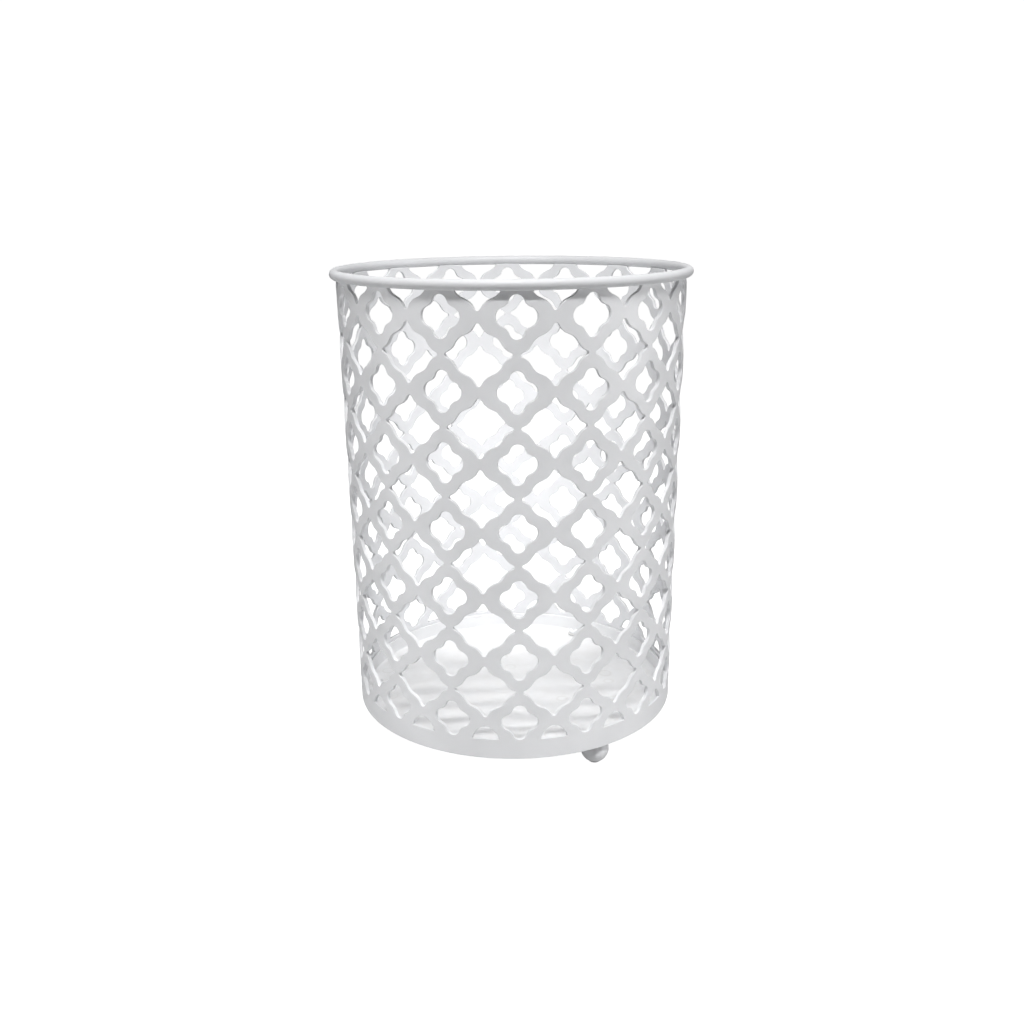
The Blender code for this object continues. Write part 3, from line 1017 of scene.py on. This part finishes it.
pan_paint = powder_coat("pan powder coat", (0.77, 0.775, 0.785), 0.40, 0.35, 0.05 * MM)
pan_tree = pan_paint.node_tree
pan_shader = pan_tree.nodes["Principled BSDF"]
place = pan_tree.nodes.new("ShaderNodeTexCoord").outputs["Object"]
drops = pan_tree.nodes.new("ShaderNodeTexVoronoi")
drops.inputs["Scale"].default_value = DROPS_PER_METRE
pan_tree.links.new(place, drops.inputs["Vector"])
ring_out = spread(pan_tree, drops.outputs["Distance"], 0.20, 0.26)
ring_in = spread(pan_tree, drops.outputs["Distance"], 0.34, 0.27)
kept = spread(pan_tree, noise(pan_tree, place, 18.0, 2.0), 0.5, 0.62)
mark = math_node(pan_tree, "MULTIPLY", math_node(pan_tree, "MULTIPLY", ring_out, ring_in), kept)
coated = pan_shader.inputs["Base Color"].links[0].from_socket
marked = blend_colour(pan_tree, share_of(pan_tree, mark, DRIP_SHOW), coated, DRIP_COLOUR)
pan_tree.links.new(marked, pan_shader.inputs["Base Color"])
print("paint:", pan_paint.name)

# %% [markdown]
# ### Enamel and rubber
# The screws wear a thin baked enamel, whiter and glossier than the powder, that is rubbed to grey
# on the edges of the head and the recess. The seals are white rubber and the pads a pale one;
# both are matt, with a fine moulded grain.

# %% Enamel on the screws
ENAMEL_DARK, ENAMEL_LIGHT = (0.77, 0.78, 0.79), (0.80, 0.81, 0.82)
RUBBED_GREY = (0.55, 0.56, 0.57)
RUBBED_SHOW = 0.6

enamel, enamel_tree, enamel_shader = new_material("screw enamel", (0.79, 0.80, 0.81), 0.28)
enamel_skin = place_group(enamel_tree, skin, Humps_per_Metre=2200.0)
enamel_edges = place_group(enamel_tree, edges, Breakup_per_Metre=900.0)
enamel_tone = blend_colour(enamel_tree, enamel_skin.outputs["Tone"], ENAMEL_DARK, ENAMEL_LIGHT)
rubbed = share_of(enamel_tree, enamel_edges.outputs["Edge"], RUBBED_SHOW)
enamel_tone = blend_colour(enamel_tree, rubbed, enamel_tone, RUBBED_GREY)
enamel_tree.links.new(enamel_tone, enamel_shader.inputs["Base Color"])
enamel_gloss = vary_roughness(enamel_tree, enamel_skin.outputs["Gloss"], 0.3, 0.2)
enamel_tree.links.new(enamel_gloss, enamel_shader.inputs["Roughness"])
add_bump(enamel_tree, enamel_shader, enamel_skin.outputs["Height"], 0.01 * MM, 0.4)
print("enamel:", enamel.name)

# %% Rubber
RUBBER_DUST = 0.25


def rubber(name, colour, worn, roughness):
    """Matt moulded rubber with a fine grain and a little dust."""
    made, tree, shader = new_material(name, colour, roughness)
    shader.inputs["Specular IOR Level"].default_value = 0.35
    grain = place_group(tree, skin, Humps_per_Metre=3000.0)
    settled = place_group(tree, dust, Patches_per_Metre=200.0).outputs["Dust"]
    tone = blend_colour(tree, grain.outputs["Tone"], colour, worn)
    tone = blend_colour(tree, share_of(tree, settled, RUBBER_DUST), tone, DUST_COLOUR)
    tree.links.new(tone, shader.inputs["Base Color"])
    gloss = vary_roughness(tree, grain.outputs["Gloss"], roughness, GLOSS_SWING)
    tree.links.new(gloss, shader.inputs["Roughness"])
    add_bump(tree, shader, grain.outputs["Height"], 0.03 * MM, 0.5)
    return made


seal_rubber = rubber("white seal rubber", (0.69, 0.69, 0.68), (0.73, 0.73, 0.72), 0.62)
pad_rubber = rubber("pale pad rubber", (0.60, 0.60, 0.59), (0.65, 0.65, 0.64), 0.70)
print("rubbers:", seal_rubber.name, pad_rubber.name)

# %% [markdown]
# ## Give every piece its finish
# Pieces are matched to finishes by the record's slot, which each piece already carries.

# %% Assign the finishes
FINISHES = {
    "shell_paint": shell_paint, "rim_paint": rim_paint, "pan_paint": pan_paint,
    "foot_paint": foot_paint, "screw_enamel": enamel, "seal_rubber": seal_rubber,
    "pad_rubber": pad_rubber,
}
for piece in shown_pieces():
    piece.data.materials.clear()
    piece.data.materials.append(FINISHES[piece["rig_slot"]])

# %% [markdown]
# ## Floor, light and camera
# A product picture of a white thing on white needs a sweep: a floor that curves up into the
# backdrop, so that no horizon shows. It glows for the camera alone, so that the ground is clean
# white. Its own tone is a middle grey, because that sets how much light it throws back up on
# the stand, and a white floor would wash the lattice out.

# %% Sweep
SWEEP_FRONT = -4.0
SWEEP_BACK = 2.5
SWEEP_RADIUS = 1.0
SWEEP_TOP = 4.0
SWEEP_HALF_WIDTH = 5.0
SWEEP_STEPS = 24
SWEEP_GREY = (0.56, 0.56, 0.56)
FLOOR_GLOW = 1.0
WHITE = (1.0, 1.0, 1.0, 1.0)

sweep_line = [(SWEEP_FRONT, 0.0)]
sweep_line += arc((SWEEP_BACK, SWEEP_RADIUS), SWEEP_RADIUS, -math.pi / 2, 0.0, SWEEP_STEPS)
sweep_line.append((SWEEP_BACK + SWEEP_RADIUS, SWEEP_TOP))
sweep_bm = bmesh.new()
left, right = (
    [sweep_bm.verts.new((x, y, z)) for y, z in sweep_line]
    for x in (-SWEEP_HALF_WIDTH, SWEEP_HALF_WIDTH)
)
for i in range(len(sweep_line) - 1):
    sweep_bm.faces.new((left[i], right[i], right[i + 1], left[i + 1]))
sweep = object_from("sweep", sweep_bm)
sweep.data.shade_smooth()
print("sweep:", len(sweep.data.polygons), "faces")

# %% Sweep finish
sweep_paint, sweep_tree, sweep_shader = new_material("pale sweep", SWEEP_GREY, 0.9)
sweep_shader.inputs["Specular IOR Level"].default_value = 0.0
sweep_shader.inputs["Emission Color"].default_value = WHITE
rays = sweep_tree.nodes.new("ShaderNodeLightPath")
glow = math_node(sweep_tree, "MULTIPLY", rays.outputs["Is Camera Ray"], FLOOR_GLOW)
sweep_tree.links.new(glow, sweep_shader.inputs["Emission Strength"])
sweep.data.materials.append(sweep_paint)
print("sweep finish:", sweep_paint.name)

# %% [markdown]
# The key is a long strip high in front, over 60 degrees up, so that the rim drops a dark line of
# shadow on the lattice. Its beam is limited and aims at the ground before the stand, so the lower
# rows get as much light as the upper ones. A narrow beam from overhead reaches the pan, a low
# strip lifts the band, and two walls light the curved sides. A weak panel stands inside the stand,
# hidden from the camera, and makes the far side fade behind the near one. The sky is almost dark.

# %% Lights
STAND_MIDDLE = Vector((0.0, 0.0, (CAD_BOX[0].z + CAD_BOX[1].z) / 2))


def softbox(name, place, aim, width, height, watts, spread=180):
    """A rectangular area light; its width stays level."""
    lamp = bpy.data.lights.new(name, "AREA")
    lamp.shape = "RECTANGLE"
    lamp.size = width
    lamp.size_y = height
    lamp.energy = watts
    lamp.spread = math.radians(spread)
    holder = bpy.data.objects.new(name, lamp)
    holder.location = place
    holder.rotation_euler = (Vector(place) - Vector(aim)).to_track_quat("Z", "Y").to_euler()
    bpy.context.scene.collection.objects.link(holder)
    return holder


RIM_FRONT = Vector((0.0, -RIM_RADIUS, RIM_Z))
softbox(
    "key strip", place=RIM_FRONT + Vector((0.1, -1.84, 3.54)), aim=(0.0, -0.3, -0.2),
    width=2.4, height=0.24, watts=24.2, spread=60,
)
softbox(
    "overhead", place=(0.0, -0.02, 1.9), aim=(0.0, -0.02, 0.0),
    width=0.12, height=0.12, watts=0.14, spread=16,
)
softbox(
    "low front", place=(0.0, -1.0, 0.03), aim=(0.0, -0.14, 0.03),
    width=1.2, height=0.05, watts=0.11, spread=90,
)
for name, x, watts in (("left wall", -1.9, 10.6), ("right wall", 1.9, 12.0)):
    softbox(name, place=(x, -0.3, 0.5), aim=STAND_MIDDLE, width=1.2, height=1.0, watts=watts)
inner = softbox(
    "inner panel", place=(0.0, 0.02, 0.23), aim=(0.0, 0.14, 0.23),
    width=0.12, height=0.30, watts=0.105,
)
inner.visible_camera = False

# %% [markdown]
# The camera sees a white sky behind everything, but as a light the sky is almost nothing. The
# Light Path node tells the two kinds of ray apart.

# %% Sky
SKY = 0.01

world = bpy.data.worlds.new("sky")
world.use_nodes = True
sky_tree = world.node_tree
sky_tree.nodes.clear()
rays = sky_tree.nodes.new("ShaderNodeLightPath")
dim = sky_tree.nodes.new("ShaderNodeBackground")
bright = sky_tree.nodes.new("ShaderNodeBackground")
dim.inputs["Strength"].default_value = SKY
for background in (dim, bright):
    background.inputs["Color"].default_value = WHITE
either = sky_tree.nodes.new("ShaderNodeMixShader")
sky_tree.links.new(rays.outputs["Is Camera Ray"], either.inputs[0])
sky_tree.links.new(dim.outputs[0], either.inputs[1])
sky_tree.links.new(bright.outputs[0], either.inputs[2])
sky_tree.links.new(either.outputs[0], sky_tree.nodes.new("ShaderNodeOutputWorld").inputs["Surface"])
bpy.context.scene.world = world
bpy.context.scene.view_settings.view_transform = "Standard"
print("sky strength:", SKY)

# %% [markdown]
# The camera stands a little above the rim and looks down at the stand, slightly from the left. A
# touch of roll and a small shift place the stand where it belongs in the frame.

# %% Camera
CAMERA_DISTANCE = 0.9087                    # metres from the stand's axis
CAMERA_ABOVE_RIM = 0.0604                   # metres
CAMERA_AZIMUTH = math.radians(-1.45)
CAMERA_PAN = math.radians(-1.33)
CAMERA_TILT = math.radians(20.24)
CAMERA_ROLL = math.radians(-0.567)
LENS = 36.88                                # mm, on a sensor 36 mm wide
SHIFT_UP = 0.0664

camera_data = bpy.data.cameras.new("camera")
camera_data.lens = LENS
camera_data.sensor_width = 36.0
camera_data.shift_y = SHIFT_UP
camera = bpy.data.objects.new("camera", camera_data)
place = Matrix.Translation((
    CAMERA_DISTANCE * math.sin(CAMERA_AZIMUTH), -CAMERA_DISTANCE * math.cos(CAMERA_AZIMUTH),
    RIM_Z + CAMERA_ABOVE_RIM,
))
turn = Matrix.Rotation(CAMERA_PAN, 4, "Z") @ Matrix.Rotation(math.pi / 2 - CAMERA_TILT, 4, "X")
camera.matrix_world = place @ turn @ Matrix.Rotation(CAMERA_ROLL, 4, "Z")
bpy.context.scene.collection.objects.link(camera)
bpy.context.scene.camera = camera
print("camera at", [round(c, 4) for c in camera.matrix_world.translation])
